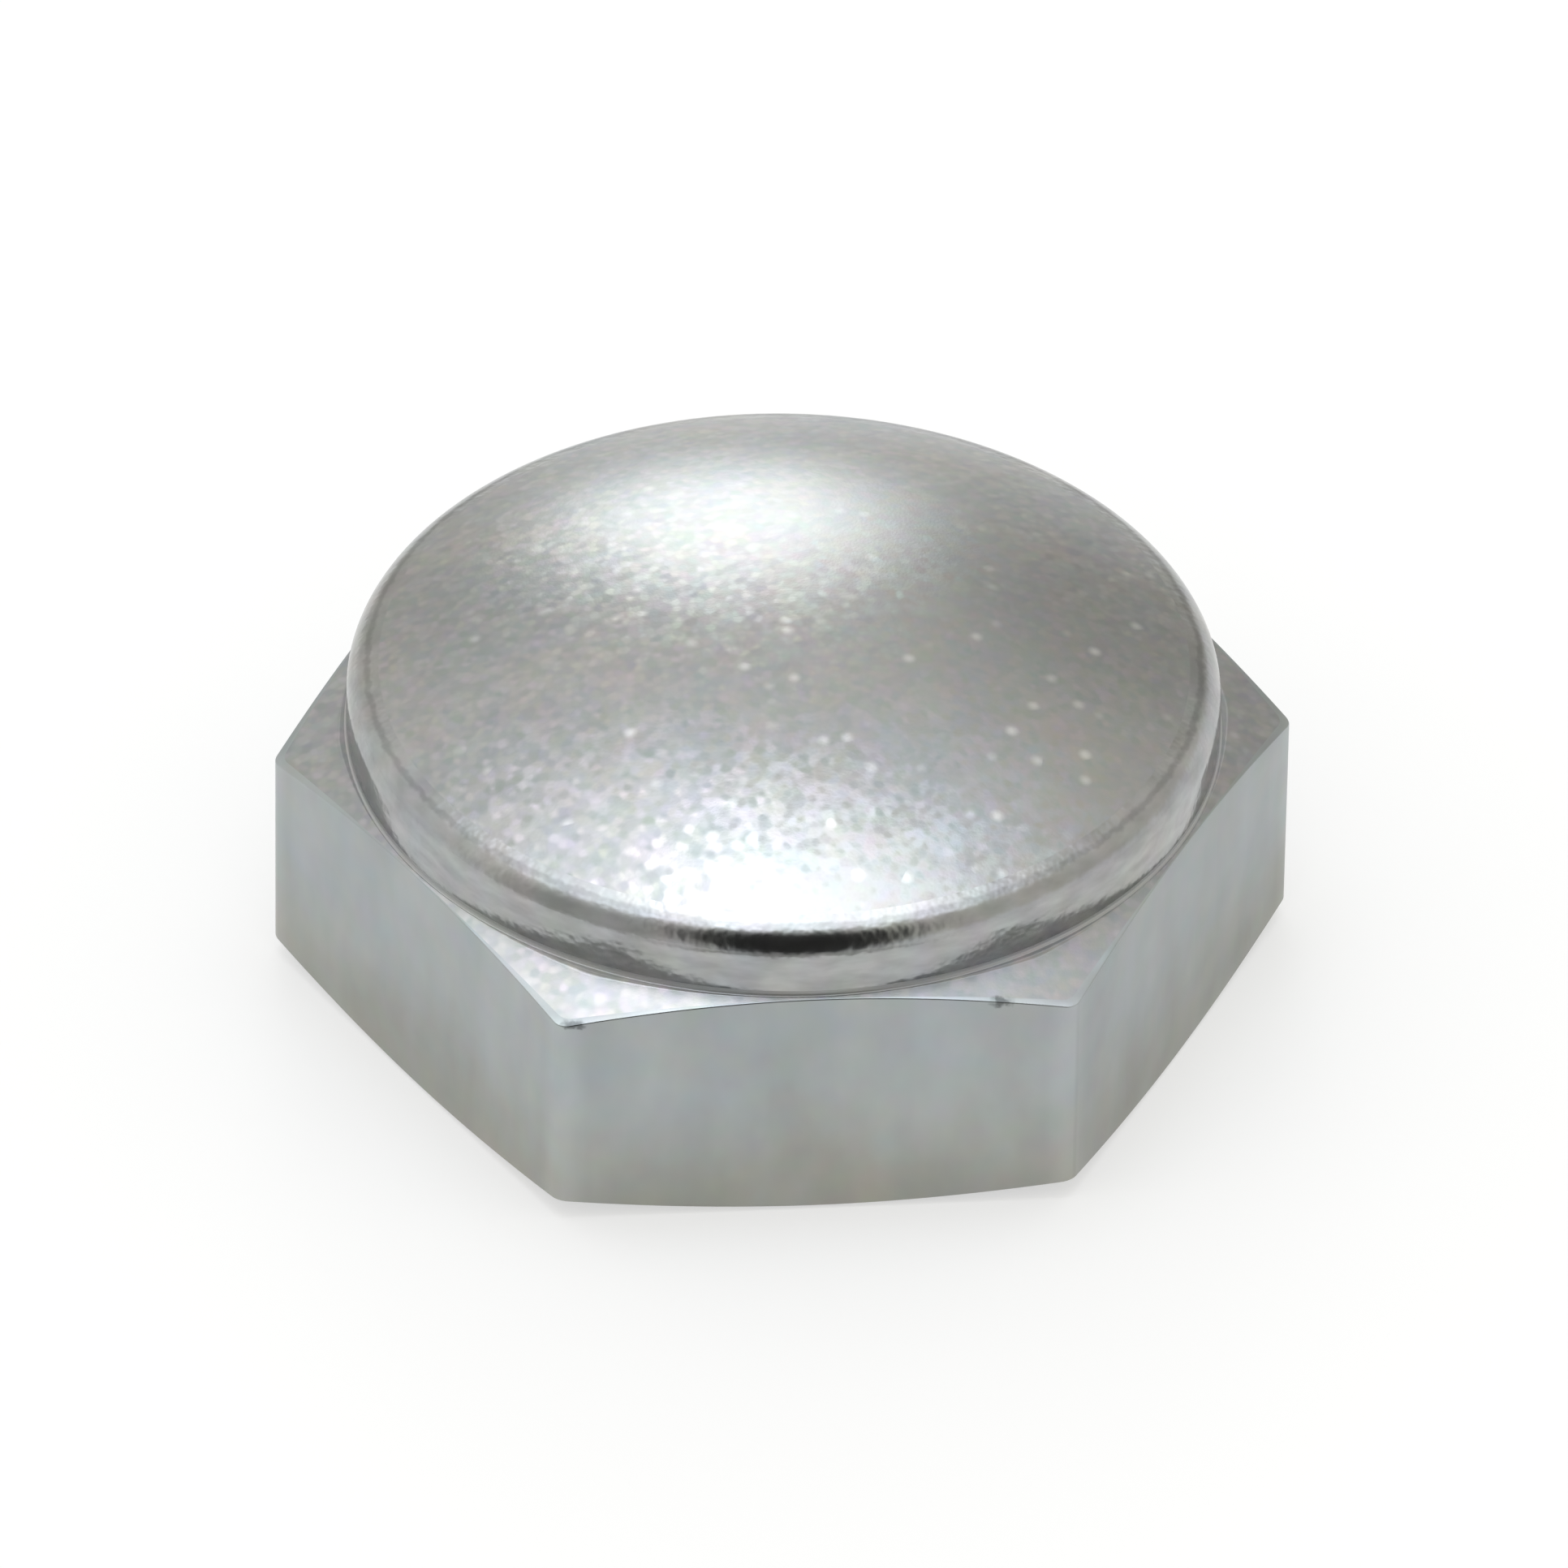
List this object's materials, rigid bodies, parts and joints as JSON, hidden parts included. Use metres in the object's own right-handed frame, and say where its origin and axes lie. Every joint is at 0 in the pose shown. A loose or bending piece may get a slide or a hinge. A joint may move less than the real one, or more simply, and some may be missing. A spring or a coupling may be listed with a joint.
{
  "type": "lock nut",
  "caption": "Closed-end hexagon lock nut with a low domed crown on a round collar, chamfered flats and a blind fine thread.",
  "frame": {"origin": "centre of the bearing face, on the thread axis", "axes": "+Z along the thread axis, out through the crown; two wrench flats face +Y and -Y, and two corners lie on the X axis"},
  "size_m": [0.0344, 0.03, 0.0143],
  "materials": {
    "zinc_plated_steel": "bright zinc plating over forged steel, satin on the flats and finely grained on the crown"
  },
  "bodies": {
    "root": {"lock_nut": "zinc_plated_steel"}
  },
  "joints": []
}
